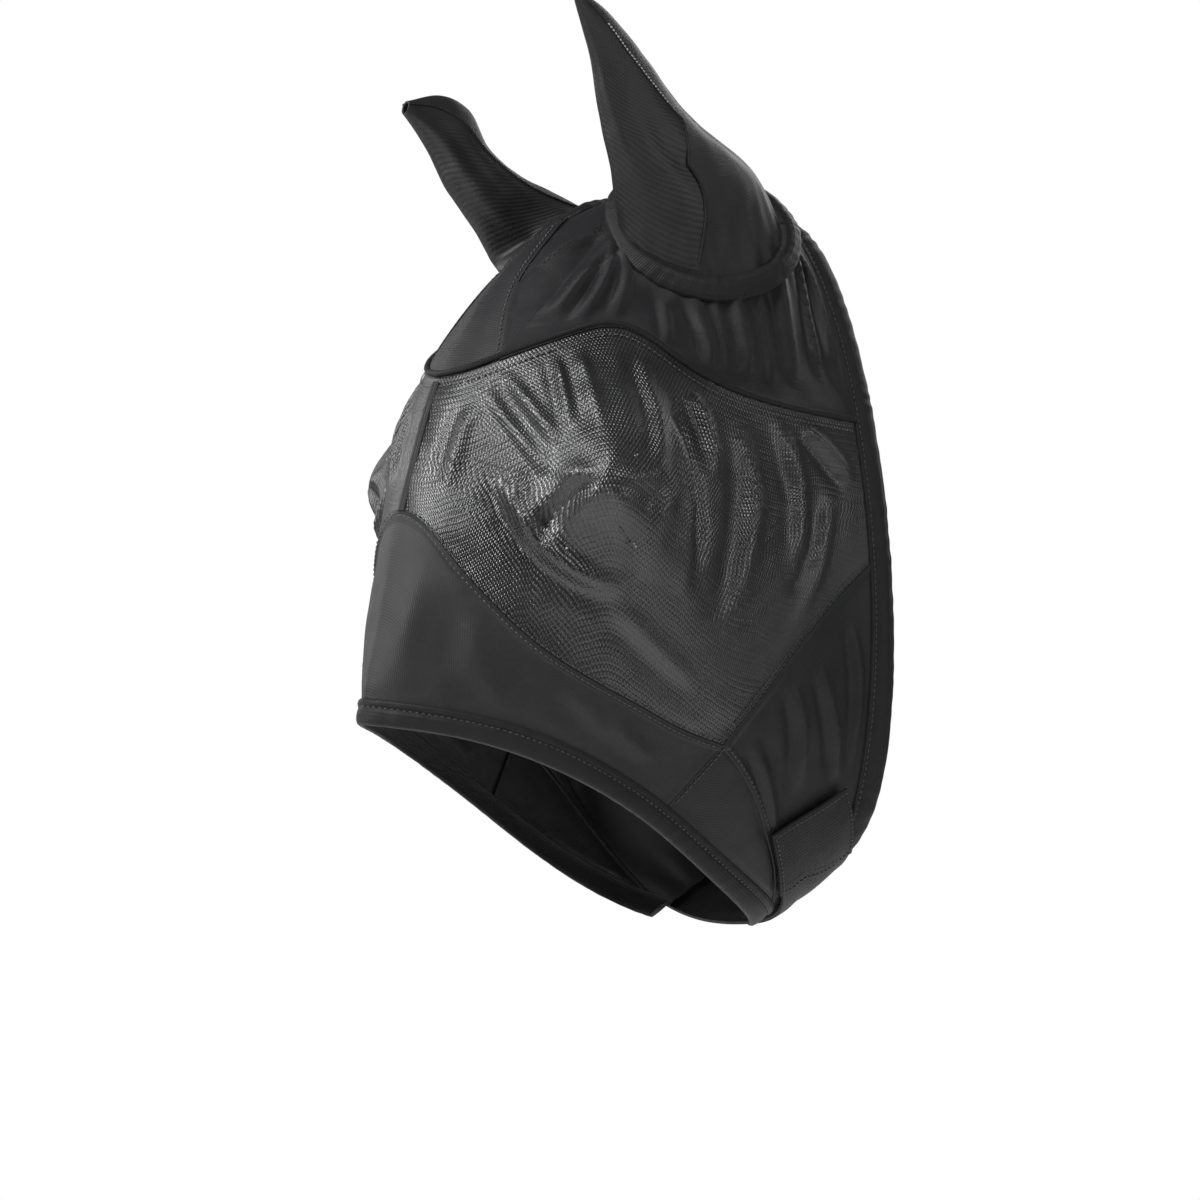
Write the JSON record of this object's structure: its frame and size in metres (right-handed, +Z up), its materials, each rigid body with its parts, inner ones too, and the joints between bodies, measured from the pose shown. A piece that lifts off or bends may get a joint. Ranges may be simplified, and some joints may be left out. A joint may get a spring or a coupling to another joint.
{
  "type": "horse fly mask",
  "caption": "Stretch fly mask for a horse: mesh over the eyes, smooth panels over brow, nose and cheeks, covers for the ears, and a wide hook-and-loop strap under the throat.",
  "frame": {"origin": "middle of the back edge, where the mask rests on the poll", "axes": "+X to the horse's left, -Y towards its nose, +Z up"},
  "size_m": [0.2122, 0.3052, 0.5152],
  "materials": {
    "lycra": "matte stretch knit with a soft sheen",
    "mesh": "open polyester mesh",
    "ear_mesh": "fine ribbed mesh",
    "binding": "folded stretch binding",
    "cuff": "rolled elastic covered in stretch knit",
    "hook": "moulded nylon hooks",
    "loop": "brushed nylon loops",
    "thread": "polyester thread"
  },
  "bodies": {
    "hood": {"forehead_gusset": "lycra", "poll_strip": "lycra", "crown_panel_left": "lycra", "crown_panel_right": "lycra", "mesh_panel_left": "mesh", "mesh_panel_right": "mesh", "nose_panel": "lycra", "jaw_wedge_left": "lycra", "jaw_wedge_right": "lycra", "cheek_panel_left": "lycra", "cheek_panel_right": "lycra", "nose_hem_binding": "binding", "back_edge_binding": "binding", "brow_piping": "binding", "centre_seam_tape": "binding", "eye_dart_left": "thread", "eye_dart_right": "thread", "ear_cuff_left": "cuff", "ear_cuff_right": "cuff", "loop_patch": "loop", "strap_root": "binding", "root_pad": "binding"},
    "strap": {"throat_strap": "binding"},
    "tab": {"closure_tab": "binding", "hook_patch": "hook"},
    "ear_left": {"ear_front_left": "ear_mesh", "ear_rear_left": "lycra"},
    "ear_right": {"ear_front_right": "ear_mesh", "ear_rear_right": "lycra"}
  },
  "joints": [
    {"name": "strap_swing", "type": "hinge", "parent": "hood", "child": "strap", "pos_m": [-0.062, -0.034, -0.371], "axis": [0, 0.9089, 0.417], "range_deg": [0, 75]},
    {"name": "tab_peel", "type": "hinge", "parent": "strap", "child": "tab", "pos_m": [0.062, -0.034, -0.371], "axis": [0, 0.9089, 0.417], "range_deg": [0, 100]},
    {"name": "left_ear_tilt", "type": "hinge", "parent": "hood", "child": "ear_left", "pos_m": [0.04, -0.098, -0.009], "axis": [0.554, -0.05, -0.831], "range_deg": [-4, 12], "stiffness_Nm_per_rad": 0.6},
    {"name": "right_ear_tilt", "type": "hinge", "parent": "hood", "child": "ear_right", "pos_m": [-0.046, -0.118, -0.024], "axis": [0.6242, 0.013, 0.7812], "range_deg": [-12, 12], "stiffness_Nm_per_rad": 0.6}
  ]
}
